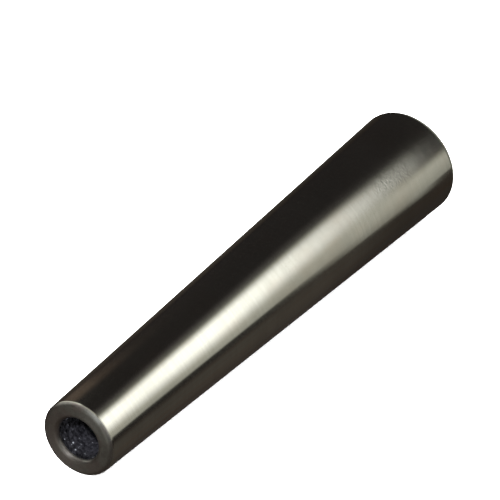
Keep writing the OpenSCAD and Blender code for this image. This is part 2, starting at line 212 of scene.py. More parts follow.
class Graph:
    """Short calls that build a node tree. A value may be a number, a colour or a socket."""

    def __init__(self, tree):
        self.tree = tree

    def add(self, kind, **settings):
        node = self.tree.nodes.new(kind)
        for key, value in settings.items():
            setattr(node, key, value)
        return node

    def put(self, value, socket):
        if isinstance(value, bpy.types.NodeSocket):
            self.tree.links.new(value, socket)
        else:
            socket.default_value = value

    def math(self, operation, *values):
        node = self.add("ShaderNodeMath", operation=operation)
        for value, socket in zip(values, node.inputs):
            self.put(value, socket)
        return node.outputs[0]

    def rise(self, value, start, end, low=0.0, high=1.0):
        """A smooth step from low to high as value goes from start to end."""
        node = self.add("ShaderNodeMapRange", interpolation_type="SMOOTHSTEP")
        for item, socket in zip((value, start, end, low, high), node.inputs):
            self.put(item, socket)
        return node.outputs[0]

    def window(self, value, start, end, soft):
        """1 between start and end, 0 outside, with soft edges."""
        up = self.rise(value, start - soft / 2, start + soft / 2)
        down = self.rise(value, end - soft / 2, end + soft / 2, 1.0, 0.0)
        return self.math("MULTIPLY", up, down)

    def product(self, *values):
        total = values[0]
        for value in values[1:]:
            total = self.math("MULTIPLY", total, value)
        return total

    def total(self, *values):
        found = values[0]
        for value in values[1:]:
            found = self.math("ADD", found, value)
        return found

    def profile(self, value, level, *steps):
        """The level, changed by each smooth step of (start, end, change) that value has passed."""
        changes = [self.rise(value, start, end, 0.0, change) for start, end, change in steps]
        return self.total(level, *changes)

    def blend(self, factor, first, second):
        """Mixes two colours."""
        node = self.add("ShaderNodeMix", data_type="RGBA")
        self.put(factor, node.inputs["Factor"])
        self.put(first, node.inputs[6])
        self.put(second, node.inputs[7])
        return node.outputs[2]

    def scaled(self, color, level):
        """A colour times a level, as a vector."""
        node = self.add("ShaderNodeVectorMath", operation="SCALE")
        self.put(color, node.inputs[0])
        self.put(level, node.inputs["Scale"])
        return node.outputs[0]

    def joined(self, *vectors):
        """The sum of vectors."""
        found = vectors[0]
        for vector in vectors[1:]:
            node = self.add("ShaderNodeVectorMath", operation="ADD")
            self.put(found, node.inputs[0])
            self.put(vector, node.inputs[1])
            found = node.outputs[0]
        return found

    def place(self, stretch=(1, 1, 1)):
        """Object coordinates in metres, times stretch."""
        where = self.add("ShaderNodeTexCoord").outputs["Object"]
        if stretch == (1, 1, 1):
            return where
        node = self.add("ShaderNodeVectorMath", operation="MULTIPLY")
        self.put(where, node.inputs[0])
        node.inputs[1].default_value = stretch
        return node.outputs[0]

    def axes(self):
        """The x, y and z of the object coordinates."""
        node = self.add("ShaderNodeSeparateXYZ")
        self.put(self.place(), node.inputs[0])
        return node.outputs[0], node.outputs[1], node.outputs[2]

    def noise(self, where, scale, detail=2.0, roughness=0.5):
        node = self.add("ShaderNodeTexNoise")
        for value, name in ((where, "Vector"), (scale, "Scale"), (detail, "Detail"),
                            (roughness, "Roughness")):
            self.put(value, node.inputs[name])
        return node.outputs["Fac"]

    def cells(self, where, scale):
        """Distance to the nearest of scattered points, from 0 at the point."""
        node = self.add("ShaderNodeTexVoronoi")
        self.put(where, node.inputs["Vector"])
        self.put(scale, node.inputs["Scale"])
        return node.outputs["Distance"]

    def axis_distance(self):
        """Distance from the X axis."""
        _, y, z = self.axes()
        return self.math("SQRT", self.total(self.math("MULTIPLY", y, y), self.math("MULTIPLY", z, z)))

    def bump(self, height, depth, below=None):
        node = self.add("ShaderNodeBump")
        node.inputs["Strength"].default_value = 1.0
        node.inputs["Distance"].default_value = depth
        self.put(height, node.inputs["Height"])
        if below is not None:
            self.put(below, node.inputs["Normal"])
        return node.outputs["Normal"]


def empty_material(name):
    """A material with nothing in it but its output, its graph and the socket to fill."""
    material = bpy.data.materials.new(name)
    material.use_nodes = True
    material.node_tree.nodes.clear()
    g = Graph(material.node_tree)
    output = g.add("ShaderNodeOutputMaterial")
    return material, g, output.inputs["Surface"]


def new_material(name, metallic, specular=0.5):
    """A Principled material, its graph and its shader node."""
    material, g, surface = empty_material(name)
    shader = g.add("ShaderNodeBsdfPrincipled")
    g.put(shader.outputs[0], surface)
    shader.inputs["Metallic"].default_value = metallic
    shader.inputs["Specular IOR Level"].default_value = specular
    return material, g, shader


def brush_round(g, shader, strength):
    """Stretches the highlights across tool marks that run round the axis."""
    shader.inputs["Anisotropic"].default_value = strength
    shader.inputs["Anisotropic Rotation"].default_value = 0.25
    tangent = g.add("ShaderNodeTangent", direction_type="RADIAL", axis="X")
    g.put(tangent.outputs[0], shader.inputs["Tangent"])


def rgb(red, green, blue):
    return (red, green, blue, 1.0)


# ---------- steels ----------

RINGS = (1.0, 0.03, 0.03)        # squeezes noise into lines that run round the axis
FROST_X = (110 * MM, 148 * MM)   # where the grainy wear lies along the barrel
FROST_SIDE = (34.0, 66.0)        # and round it, in degrees from -Y up


def ground_steel():
    """Cylindrical grinding: fine lines round the taper, a few deeper ones, and faint handling stains."""
    material, g, shader = new_material("ground_tool_steel_looks", 1.0)
    lines = g.noise(g.place(RINGS), 2600, 3.0, 0.6)
    bands = g.noise(g.place(RINGS), 240, 2.0)
    stain = g.noise(g.place(), 26, 4.0, 0.62)
    specks = g.rise(g.cells(g.place((1, 0.8, 0.8)), 700), 0.05, 0.2, 1.0, 0.0)
    rare = g.product(specks, g.rise(g.noise(g.place(), 160), 0.55, 0.7))
    rings = g.noise(g.place(RINGS), 800, 2.0)
    clean = g.blend(g.rise(rings, 0.35, 0.65), rgb(0.44, 0.437, 0.385), rgb(0.42, 0.417, 0.365))
    tea = g.rise(g.noise(g.place((0.5, 1, 1)), 55, 3.0, 0.6), 0.45, 0.75, 0.0, 0.26)
    fresh = g.blend(tea, g.blend(g.rise(stain, 0.4, 0.72, 0.0, 0.7), clean, rgb(0.36, 0.355, 0.31)),
                    rgb(0.43, 0.365, 0.285))
    g.put(g.blend(g.math("MULTIPLY", rare, 0.35), fresh, rgb(0.2, 0.17, 0.14)), shader.inputs["Base Color"])
    rough = g.total(0.095, g.math("MULTIPLY", lines, 0.045), g.math("MULTIPLY", stain, 0.045),
                    g.math("MULTIPLY", rare, 0.08))
    g.put(rough, shader.inputs["Roughness"])
    brush_round(g, shader, 0.25)
    soft = g.bump(bands, 8e-7)
    fine = g.bump(lines, 4e-7, soft)
    g.put(g.bump(frosted_patch(g), 2.4e-5, fine), shader.inputs["Normal"])
    return material


def frosted_patch(g):
    """Grainy wear on one side of the barrel, near the front rim."""
    x, y, z = g.axes()
    side = g.math("DEGREES", g.math("ARCTAN2", z, g.math("MULTIPLY", y, -1.0)))
    edge = g.math("MULTIPLY", g.noise(g.place(), 120, 3.0), 30 * MM)
    along = g.window(g.math("ADD", x, edge), *FROST_X, 26 * MM)
    return g.product(g.noise(g.place(), 1000, 2.0, 0.6), along, g.window(side, *FROST_SIDE, 16.0))


def faced_steel():
    """Faced end: circular tool marks, with dull scale left in blotches."""
    material, g, shader = new_material("faced_steel_looks", 1.0)
    radius = g.axis_distance()
    marks = g.noise(radius, 2200, 2.0)
    blotch = g.noise(g.place(), 210, 4.0, 0.6)
    pits = g.rise(g.cells(g.place(), 900), 0.08, 0.3, 1.0, 0.0)
    worn = g.rise(blotch, 0.42, 0.62)
    grey = g.blend(worn, rgb(0.37, 0.368, 0.342), rgb(0.31, 0.303, 0.28))
    tint = g.rise(g.noise(g.place(), 95, 3.0, 0.55), 0.4, 0.62, 0.0, 0.8)
    oiled = g.blend(tint, grey, rgb(0.345, 0.3, 0.282))
    fleck = g.rise(g.noise(g.place(), 1500, 2.0), 0.3, 0.7, 0.0, 0.22)
    g.put(g.blend(fleck, oiled, rgb(0.2, 0.2, 0.19)), shader.inputs["Base Color"])
    g.put(g.total(0.4, g.math("MULTIPLY", worn, 0.07)), shader.inputs["Roughness"])
    brush_round(g, shader, 0.6)
    height = g.total(g.math("MULTIPLY", marks, 0.4), blotch, g.math("MULTIPLY", pits, -0.3))
    g.put(g.bump(height, 7e-6), shader.inputs["Normal"])
    return material


def rough_bore_steel():
    """Drilled and heat-scaled bore: dark, grainy, with bright specks where the scale has broken off. Its
    colour carries painted shade: darker near the mouth, and near black towards the deep end.
    """
    material, g, shader = new_material("rough_bore_steel_looks", 0.0, 0.3)
    grain = g.noise(g.place(), 1100, 3.0, 0.65)
    lumps = g.noise(g.place(), 420, 3.0, 0.6)
    flakes = g.rise(g.cells(g.place(), 620), 0.14, 0.32, 1.0, 0.0)
    bare = g.product(flakes, g.rise(lumps, 0.54, 0.64))
    mixed = g.total(g.math("MULTIPLY", grain, 0.5), g.math("MULTIPLY", lumps, 0.5))
    scale = g.blend(g.rise(mixed, 0.38, 0.62), rgb(0.002, 0.002, 0.003), rgb(0.02, 0.02, 0.0245))
    x, _, _ = g.axes()
    depth = g.math("SUBTRACT", x, SMALL_X)
    # painted shade: bottom and clear darken the colour near the mouth and fade it to near black over the
    # last few mm of the counterbore, in place of the shade deep in the hole
    bottom = g.rise(depth, 16 * MM, CBORE_L, 1.0, 0.06)
    clear = g.product(g.rise(depth, 0.0, 12 * MM, 0.5, 0.9), bottom)
    tone = g.blend(bare, scale, rgb(0.24, 0.255, 0.28))
    g.put(g.blend(clear, rgb(0, 0, 0), tone), shader.inputs["Base Color"])
    g.put(g.math("SUBTRACT", 0.62, g.math("MULTIPLY", bare, 0.2)), shader.inputs["Roughness"])
    height = g.total(g.math("MULTIPLY", grain, 0.35), lumps)
    g.put(g.bump(height, 2.4e-4), shader.inputs["Normal"])
    return material


def cut_steel(name, color, dull, roughness, lines_scale, depth):
    """Turned or cut steel: tool marks round the axis, and a slow change of tone."""
    material, g, shader = new_material(name, 1.0)
    lines = g.noise(g.place(RINGS), lines_scale, 2.0, 0.55)
    across = g.noise(g.axis_distance(), lines_scale, 2.0)
    tone = g.noise(g.place(), 150, 3.0, 0.55)
    g.put(g.blend(tone, color, dull), shader.inputs["Base Color"])
    rough = g.total(roughness - 0.04, g.math("MULTIPLY", lines, 0.05), g.math("MULTIPLY", tone, 0.07))
    g.put(rough, shader.inputs["Roughness"])
    g.put(g.bump(g.total(lines, across), depth), shader.inputs["Normal"])
    return material


def plated_steel(name, light, dark, roughness, grain_scale):
    """A finish that lies on the steel in grains, such as zinc, oxide or phosphate."""
    material, g, shader = new_material(name, 1.0)
    grain = g.noise(g.place(), grain_scale, 4.0, 0.62)
    patch = g.noise(g.place(), grain_scale / 9, 3.0, 0.5)
    mixed = g.total(g.math("MULTIPLY", grain, 0.55), g.math("MULTIPLY", patch, 0.45))
    g.put(g.blend(g.rise(mixed, 0.36, 0.64), light, dark), shader.inputs["Base Color"])
    g.put(g.total(roughness - 0.06, g.math("MULTIPLY", mixed, 0.14)), shader.inputs["Roughness"])
    g.put(g.bump(grain, 8e-6), shader.inputs["Normal"])
    return material


def blued_spring_steel():
    """Tempered strip: blue with straw and purple where the heat was uneven."""
    material, g, shader = new_material("blued_spring_steel_looks", 1.0)
    heat = g.noise(g.place(), 130, 3.0, 0.55)
    drawn = g.noise(g.place((1, 1, 0.2)), 1800, 2.0)
    blue = g.blend(g.rise(heat, 0.3, 0.55), rgb(0.08, 0.13, 0.27), rgb(0.13, 0.1, 0.24))
    g.put(g.blend(g.rise(heat, 0.58, 0.78), blue, rgb(0.3, 0.2, 0.1)), shader.inputs["Base Color"])
    g.put(g.total(0.22, g.math("MULTIPLY", drawn, 0.1)), shader.inputs["Roughness"])
    g.put(g.bump(drawn, 3e-6), shader.inputs["Normal"])
    return material


def polished_balls():
    """Lapped rolling elements: near mirror, with a haze and hair-thin marks."""
    material, g, shader = new_material("polished_balls_looks", 1.0)
    haze = g.noise(g.place(), 500, 3.0, 0.6)
    hairs = g.rise(g.noise(g.place((1, 0.1, 0.6)), 3600, 1.0), 0.62, 0.7)
    g.put(g.blend(haze, rgb(0.66, 0.665, 0.67), rgb(0.58, 0.585, 0.6)), shader.inputs["Base Color"])
    g.put(g.total(0.05, g.math("MULTIPLY", haze, 0.04), g.math("MULTIPLY", hairs, 0.05)),
          shader.inputs["Roughness"])
    g.put(g.bump(hairs, 4e-7), shader.inputs["Normal"])
    return material


def brass_cage():
    """Machined brass, a little tarnished in the hollows."""
    material, g, shader = new_material("brass_cage_looks", 1.0)
    tarnish = g.noise(g.place(), 260, 4.0, 0.6)
    marks = g.noise(g.place(RINGS), 3200, 2.0)
    g.put(g.blend(g.rise(tarnish, 0.38, 0.68), rgb(0.78, 0.57, 0.24), rgb(0.46, 0.3, 0.11)),
          shader.inputs["Base Color"])
    g.put(g.total(0.2, g.math("MULTIPLY", tarnish, 0.12)), shader.inputs["Roughness"])
    g.put(g.bump(marks, 3e-6), shader.inputs["Normal"])
    return material


def rubber(name, light, dark):
    """Moulded rubber: matt, finely grained, with dust in the grain."""
    material, g, shader = new_material(name, 0.0, 0.35)
    grain = g.noise(g.place(), 2400, 3.0, 0.6)
    bloom = g.noise(g.place(), 300, 3.0, 0.55)
    g.put(g.blend(g.rise(bloom, 0.35, 0.7), dark, light), shader.inputs["Base Color"])
    g.put(g.total(0.5, g.math("MULTIPLY", grain, 0.16)), shader.inputs["Roughness"])
    g.put(g.bump(grain, 1.5e-5), shader.inputs["Normal"])
    return material


# ---------- body ----------

FLANK, FACE, BORE, THREAD, SEAT = range(5)


def outer_rows():
    """From the hole's mouth round the outside to the front bore."""
    tail_x = SMALL_X + TAIL_ROUND
    tail_r = flank_radius(tail_x) - TAIL_ROUND * LEAN
    rim_x = FRONT_X - RIM_ROUND
    rim_r = flank_radius(rim_x) - RIM_ROUND * LEAN
    lean_angle = 90 + math.degrees(math.atan(SLOPE))
    face_steps, tail_steps, flank_steps, rim_steps = 5, 12, 12, 14
    faced_steps = 9              # of the tail's rounding; the rest of it is ground
    mouth_r = CBORE_R + MOUTH_ROUND
    rows = []
    for i in range(face_steps):
        rows.append((SMALL_X, mouth_r + (tail_r - mouth_r) * i / face_steps, FACE))
    tail = arc(tail_x, tail_r, TAIL_ROUND, 180, lean_angle, tail_steps)
    rows += [(x, r, FACE) for x, r in tail[:faced_steps]]
    rows += [(x, r, FLANK) for x, r in tail[faced_steps:]]
    start, end = rows[-1][0], rim_x - RIM_ROUND * SLOPE
    for i in range(1, flank_steps):
        x = start + (end - start) * i / flank_steps
        rows.append((x, flank_radius(x), FLANK))
    rows += [(x, r, FLANK) for x, r in arc(rim_x, rim_r, RIM_ROUND, lean_angle, 0, rim_steps)]
    x, r, _ = rows[-1]
    rows[-1] = (x, r, FACE)      # the flat front face follows
    return rows


def notched(radius):
    """Bore radius with half of the lock screw's hole cut into it at the top."""
    def reach(angle):
        offset = COVER_R * math.sin(angle)
        if abs(offset) >= LOCK_HOLE_R or math.cos(angle) < 0:
            return radius
        return max(radius, COVER_R * math.cos(angle) + math.sqrt(LOCK_HOLE_R ** 2 - offset ** 2))
    return reach


def bearing_rows():
    """The stepped bore, from the front face down to the knock-out passage."""
    cover_bore = COVER_R + SLIP
    ring_x = stations("front_roller_outer_ring")[0]
    ring_r = outer_radius("front_roller_outer_ring")
    thrust_x = stations("thrust_housing_washer")[0]
    thrust_r = outer_radius("thrust_housing_washer")
    cup_x0 = stations("tail_needle_cup")[0]
    cup_r = outer_radius("tail_needle_cup")
    plug_x0 = stations("knockout_plug")[0]
    plug_r = outer_radius("knockout_plug") + SLIP
    step = 1 * MM
    chamfer = 0.3 * MM
    relief_x = stations("thrust_housing_washer")[1] + step
    chamber_x0 = cup_x0 - 2 * step
    return [
        (FRONT_X, notched(cover_bore + chamfer), SEAT), (FRONT_X - chamfer, notched(cover_bore), SEAT),
        (LOCK_X0, notched(cover_bore), SEAT), (LOCK_X0, cover_bore, SEAT),
        (COVER_X0, cover_bore, SEAT), (COVER_X0, ring_r, SEAT),
        (ring_x, ring_r, SEAT), (ring_x, thrust_r + step, SEAT),
        (relief_x, thrust_r + step, SEAT), (relief_x, thrust_r, SEAT),
        (thrust_x, thrust_r, SEAT), (thrust_x, cup_r, SEAT),
        (chamber_x0, cup_r, SEAT), (chamber_x0, plug_r, SEAT),
        (plug_x0 - step, plug_r, SEAT), (plug_x0 - step, PASSAGE_R, SEAT),
    ]


def thread_radius(x, angle, start, end):
    """Internal thread, led in at the counterbore and running out at the deep end."""
    phase = ((x - start) / THREAD_PITCH - angle / (2 * math.pi)) % 1.0
    if phase < THREAD_CREST:
        depth = 0.0
    elif phase < THREAD_CREST + THREAD_FLANK:
        depth = (phase - THREAD_CREST) / THREAD_FLANK
    elif phase < 1 - THREAD_FLANK:
        depth = 1.0
    else:
        depth = (1 - phase) / THREAD_FLANK
    run_out = min(1.0, max(0.0, (end - x) / THREAD_PITCH))
    cut = THREAD_MINOR_R + (THREAD_MAJOR_R - THREAD_MINOR_R) * depth * run_out
    lead_in = CBORE_R - (x - start)
    return max(cut, lead_in)


def thread_rows(start, end):
    """Rows that follow the helix, so that each edge of the thread is one line of the mesh. Where a row
    would pass the thread's start or end, it stays there."""
    scaled_turns = 1             # the bore's scale reaches a little way into the thread
    root = THREAD_CREST + THREAD_FLANK
    corners = (0.0, THREAD_CREST / 2, THREAD_CREST, THREAD_CREST + THREAD_FLANK / 2,
               root, 1 - THREAD_FLANK, 1 - THREAD_FLANK / 2)
    turns = round((end - start) / THREAD_PITCH)
    rows = []
    for turn in range(turns, -2, -1):
        for corner in reversed(corners):
            def station(angle, offset=turn + corner):
                x = start + THREAD_PITCH * (offset + angle / (2 * math.pi))
                return min(end, max(start, x))

            def reach(angle, where=station):
                return thread_radius(where(angle), angle, start, end)
            rows.append((station, reach, THREAD if turn > scaled_turns else BORE))
    return rows


def bore_wobble(x):
    """Radius of the counterbore, rough like a drilled and scaled hole, and smoother near its mouth."""
    smooth_l = 3 * MM
    fade = min(1.0, (x - SMALL_X) / smooth_l)

    def reach(angle):
        point = at_angle(x, CBORE_R, angle)
        lumps = noise.noise(point * LUMPS_PER_M)
        grit = noise.noise(point * GRITS_PER_M)
        return CBORE_R + (LUMP_DEPTH * lumps + GRIT_DEPTH * grit) * fade
    return reach


def drawbar_rows():
    """From the passage back out to the small end: drill point, thread, counterbore, rounded mouth."""
    thread_x0 = SMALL_X + CBORE_L
    thread_x1 = thread_x0 + THREAD_L
    drill_x = thread_x1 + (THREAD_MINOR_R - PASSAGE_R) / math.tan(DRILL_HALF_ANGLE)
    mouth_x = SMALL_X + MOUTH_ROUND
    rough_steps, mouth_steps = 58, 8
    rows = [(drill_x, PASSAGE_R, BORE), (thread_x1, THREAD_MINOR_R, THREAD)]
    rows += thread_rows(thread_x0, thread_x1)
    rows.append((thread_x0, CBORE_R, BORE))
    for i in range(1, rough_steps):
        x = thread_x0 + (mouth_x - thread_x0) * i / rough_steps
        rows.append((x, bore_wobble(x), BORE))
    mouth = arc(mouth_x, CBORE_R + MOUTH_ROUND, MOUTH_ROUND, 270, 180, mouth_steps)
    return rows + [(x, r, FACE) for x, r in mouth[:-1]]


def build_body():
    """The ground body, with its materials in the order of the numbers above."""
    materials = [
        ground_steel(), faced_steel(), rough_bore_steel(),
        cut_steel("tapped_steel_looks", rgb(0.36, 0.36, 0.37), rgb(0.26, 0.26, 0.27), 0.32, 2400, 8e-6),
        cut_steel("bored_steel_looks", rgb(0.46, 0.455, 0.44), rgb(0.38, 0.375, 0.36), 0.24, 2600, 4e-6),
    ]
    notch_width = math.radians(8.4)     # finer faces across the lock screw's half hole
    angles = round_angles(TURNED_STEPS, dense_at=[0.0], dense_width=notch_width, dense_count=15)
    rows = outer_rows() + bearing_rows() + drawbar_rows()
    piece = add_piece("taper_body_ground", turned_mesh(rows, angles), materials)
    stand_for(piece, "taper_body", "barrel")


# ---------- cover ring and garter spring ----------

def cover_rows():
    """Outline of the cover ring: lip and seal pocket inside, thread land and O-ring groove outside."""
    pocket_slack = 0.1 * MM
    pocket_r = outer_radius("seal_case")
    pocket_x = stations("seal_case")[1] + pocket_slack
    groove_x0, groove_x1 = GROOVE_MIDDLE - GROOVE_W / 2, GROOVE_MIDDLE + GROOVE_W / 2
    groove_r = COVER_R - GROOVE_DEPTH
    edge = 0.4 * MM
    fillet = 0.2 * MM
    outline = [
        (COVER_X0, pocket_r + edge), (COVER_X0, COVER_R - edge), (COVER_X0 + edge, COVER_R),
        (groove_x0, COVER_R), (groove_x0, groove_r + fillet), (groove_x0 + fillet, groove_r),
        (groove_x1 - fillet, groove_r), (groove_x1, groove_r + fillet), (groove_x1, COVER_R),
        (COVER_X1 - edge, COVER_R), (COVER_X1, COVER_R - edge), (COVER_X1, COVER_LIP_R + edge),
        (COVER_X1 - edge, COVER_LIP_R), (pocket_x, COVER_LIP_R), (pocket_x, pocket_r),
        (COVER_X0 + edge, pocket_r),
    ]
    return [(x, r, 0) for x, r in outline]


def spanner_hole(angle):
    """Drilled hole with a chamfered mouth and a drill point, as a cutting tool."""
    chamfer, over = 0.3 * MM, 0.5 * MM
    bottom = COVER_X1 - SPANNER_L
    tip = bottom - SPANNER_R / math.tan(DRILL_HALF_ANGLE)
    rows = [(tip, 0.0, 0), (bottom, SPANNER_R, 0), (COVER_X1 - chamfer, SPANNER_R, 0),
            (COVER_X1 + over, SPANNER_R + chamfer + over, 0), (COVER_X1 + over, 0.0, 0)]
    made = turned_mesh(rows, round_angles(HOLE_STEPS), closed=False)
    bmesh.ops.translate(made, verts=made.verts, vec=at_angle(0.0, SPANNER_CIRCLE_R, angle))
    return made


def lock_hole():
    """The lock screw's hole on the joint line, as a cutting tool."""
    over = 1 * MM
    rows = [(LOCK_X0, 0.0, 0), (LOCK_X0, LOCK_HOLE_R, 0), (FRONT_X + over, LOCK_HOLE_R, 0),
            (FRONT_X + over, 0.0, 0)]
    made = turned_mesh(rows, round_angles(HOLE_STEPS), closed=False)
    bmesh.ops.translate(made, verts=made.verts, vec=at_angle(0.0, COVER_R, 0.0))
    return made


def build_cover():
    steel = cut_steel("turned_steel_looks", rgb(0.5, 0.5, 0.49), rgb(0.43, 0.43, 0.42), 0.24, 2600, 5e-6)
    piece = add_piece("cover_ring_turned", turned_mesh(cover_rows(), round_angles(TURNED_STEPS)), [steel])
    first, between = math.radians(45), 2 * math.pi / SPANNER_HOLES
    holes = [spanner_hole(first + between * i) for i in range(SPANNER_HOLES)]
    carve(piece, holes + [lock_hole()])
    stand_for(piece, "cover_ring", "barrel")


def coil_mesh(ring_r, coil_r, wire_r, turns, steps, sides, x):
    """A close coil of wire bent round into a ring about the axis."""
    made = bmesh.new()
    rings = []
    count = turns * steps
    for i in range(count):
        around = 2 * math.pi * i / count
        wind = 2 * math.pi * i / steps
        outward = at_angle(0.0, 1.0, around)
        reach = Vector((math.sin(wind), 0, 0)) + outward * math.cos(wind)
        centre = Vector((x, 0, 0)) + outward * ring_r + reach * coil_r
        along = at_angle(0.0, 1.0, around + math.pi / 2)
        ring = []
        for k in range(sides):
            turn = 2 * math.pi * k / sides
            ring.append(made.verts.new(centre + wire_r * (reach * math.cos(turn) + along * math.sin(turn))))
        rings.append(ring)
    for i in range(count):
        near, far = rings[i], rings[(i + 1) % count]
        for k in range(sides):
            m = (k + 1) % sides
            made.faces.new((near[k], near[m], far[m], far[k])).smooth = True
    bmesh.ops.recalc_face_normals(made, faces=made.faces)
    return made


def build_garter():
    steel = cut_steel("spring_steel_looks", rgb(0.55, 0.55, 0.56), rgb(0.45, 0.45, 0.46), 0.22, 3000, 3e-6)
    outer = (GARTER_X1 - GARTER_X0) / 2
    wire_r = 0.13 * MM
    margin = 0.01 * MM
    made = coil_mesh(GARTER_R - outer, outer - wire_r - margin, wire_r,
                     turns=260, steps=12, sides=6, x=(GARTER_X0 + GARTER_X1) / 2)
    piece = add_piece("seal_garter_coil", made, [steel], sharp_angle=180)
    stand_for(piece, "seal_garter_spring", "barrel")


# ---------- CAD nodes that keep their shape ----------

def dress(material, *nodes):
    """Puts a material on CAD nodes, and leaves their shape as it is."""
    for name in nodes:
        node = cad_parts[name]
        for slot in node.material_slots:
            slot.material = material


def dress_nodes():
    dress(rubber("black_nitrile_looks", rgb(0.014, 0.014, 0.015), rgb(0.006, 0.006, 0.007)), "cover_o_ring")
    dress(plated_steel("black_oxide_looks", rgb(0.09, 0.09, 0.1), rgb(0.045, 0.045, 0.05), 0.36, 1500),
          "cover_lock_screw", "knockout_plug", "spindle_locknut")
    dress(plated_steel("seal_case_looks", rgb(0.4, 0.4, 0.4), rgb(0.3, 0.3, 0.31), 0.3, 1100), "seal_case")
    dress(rubber("brown_rubber_looks", rgb(0.09, 0.035, 0.018), rgb(0.05, 0.02, 0.01)), "seal_lip")
    dress(blued_spring_steel(), "preload_wave_spring")
    bearing_steel = cut_steel("bearing_steel_looks", rgb(0.58, 0.585, 0.59), rgb(0.5, 0.505, 0.515),
                              0.13, 4200, 8e-7)
    dress(bearing_steel, "front_ball_outer_ring", "front_ball_inner_ring",
          "front_roller_outer_ring", "front_roller_inner_ring",
          "thrust_shaft_washer", "thrust_housing_washer")
    dress(plated_steel("drawn_cup_looks", rgb(0.5, 0.5, 0.5), rgb(0.4, 0.4, 0.41), 0.26, 1300),
          "tail_needle_cup")
    dress(cut_steel("ground_spindle_looks", rgb(0.54, 0.54, 0.53), rgb(0.47, 0.47, 0.46), 0.15, 3600, 1e-6),
          "center_spindle")
    dress(plated_steel("zinc_plate_looks", rgb(0.6, 0.63, 0.67), rgb(0.47, 0.5, 0.54), 0.28, 900),
          "spindle_lock_washer")
    dress(polished_balls(), "front_balls", "front_rollers", "thrust_balls", "tail_needles")
    dress(brass_cage(), "front_ball_cage", "thrust_ball_cage")
    dress(plated_steel("phosphate_cage_looks", rgb(0.3, 0.3, 0.29), rgb(0.2, 0.2, 0.2), 0.4, 1400),
          "front_roller_cage", "tail_needle_cage")


# ---------- camera, floor and light ----------

AZIMUTH = math.radians(-56.65)
ELEVATION = math.radians(33.47)
AIM_RIGHT = 0.02069              # how far right of the gauge plane's centre the camera looks, in lengths
AIM_UP = 0.08515                 # and how far up
CAMERA_DISTANCE = 12.311         # in lengths of the object
LENS = 576.0                     # in mm, as is the sensor's width
SENSOR = 36.0

FLOOR_HALF = 12.0
FLOOR_GAP = 0.02 * MM            # between the part and the floor
FLOOR_EASE = 0.03                # length over which the floor levels out past the part's ends
FLOOR_MARGIN = 0.15              # how far past the ends its narrow strips go
FLOOR_STRIPS = 60
FLOOR_GLOW = 0.28                # keeps the floor white where little light reaches it

LAMP_TOWARDS = Vector((-0.73, -0.13, 0.67))
LAMP_ENERGY = 9.0
LAMP_SPREAD = math.radians(3)
WORLD_STRENGTH = 4.0


def add_camera():
    back = Vector((math.sin(AZIMUTH) * math.cos(ELEVATION), -math.cos(AZIMUTH) * math.cos(ELEVATION),
                   math.sin(ELEVATION)))
    right = Vector((math.cos(AZIMUTH), math.sin(AZIMUTH), 0))
    up = back.cross(right)
    data = bpy.data.cameras.new("camera")
    data.lens = LENS
    data.sensor_width = SENSOR
    data.clip_start = LENGTH
    data.clip_end = 100 * LENGTH
    camera = bpy.data.objects.new("camera", data)
    aim = LENGTH * (AIM_RIGHT * right + AIM_UP * up)
    camera.location = aim + CAMERA_DISTANCE * LENGTH * back
    camera.rotation_mode = "QUATERNION"
    camera.rotation_quaternion = (-back).to_track_quat("-Z", "Y")
    bpy.context.scene.collection.objects.link(camera)
    bpy.context.scene.camera = camera


def floor_height(x):
    """The floor follows the lowest line of the taper under the part, and runs level beyond it."""
    reach = min(FRONT_X, max(SMALL_X, x))
    beyond = x - reach
    eased = FLOOR_EASE * math.tanh(beyond / FLOOR_EASE)
    return -flank_radius(reach + eased) - FLOOR_GAP


def add_floor():
    fine_x0 = SMALL_X - FLOOR_MARGIN
    fine_l = FRONT_X - SMALL_X + 2 * FLOOR_MARGIN
    inner = [fine_x0 + fine_l * i / FLOOR_STRIPS for i in range(FLOOR_STRIPS + 1)]
    made = bmesh.new()
    rows = []
    for x in [-FLOOR_HALF, *inner, FLOOR_HALF]:
        rows.append([made.verts.new((x, y, floor_height(x))) for y in (-FLOOR_HALF, FLOOR_HALF)])
    for near, far in zip(rows, rows[1:]):
        made.faces.new((near[0], far[0], far[1], near[1])).smooth = True
    material, g, shader = new_material("floor_paper", 0.0, 0.2)
    paper = g.noise(g.place(), 900, 3.0)
    g.put(g.blend(paper, rgb(0.9, 0.9, 0.9), rgb(0.94, 0.94, 0.94)), shader.inputs["Base Color"])
    shader.inputs["Roughness"].default_value = 0.9
    shader.inputs["Emission Color"].default_value = rgb(1, 1, 1)
    shader.inputs["Emission Strength"].default_value = FLOOR_GLOW
    floor = add_piece("floor", made, [material])
    floor.visible_glossy = False


TENT_R = 0.6                     # radius of the light tent round the part
TENT_X0 = -1.3
TENT_X1 = 1.5
MEET = 5 / 6 * TENT_R            # where on the tent the camera sees the gauge plane reflected
SPREAD = 1.18                    # how much the reflected tent is stretched along the part
FACING = 50.25                   # degrees from -Y up to the camera, about the axis
STEEL_SHARE = 0.42               # share of the light that the ground steel sends back
TENT_STEPS = 96


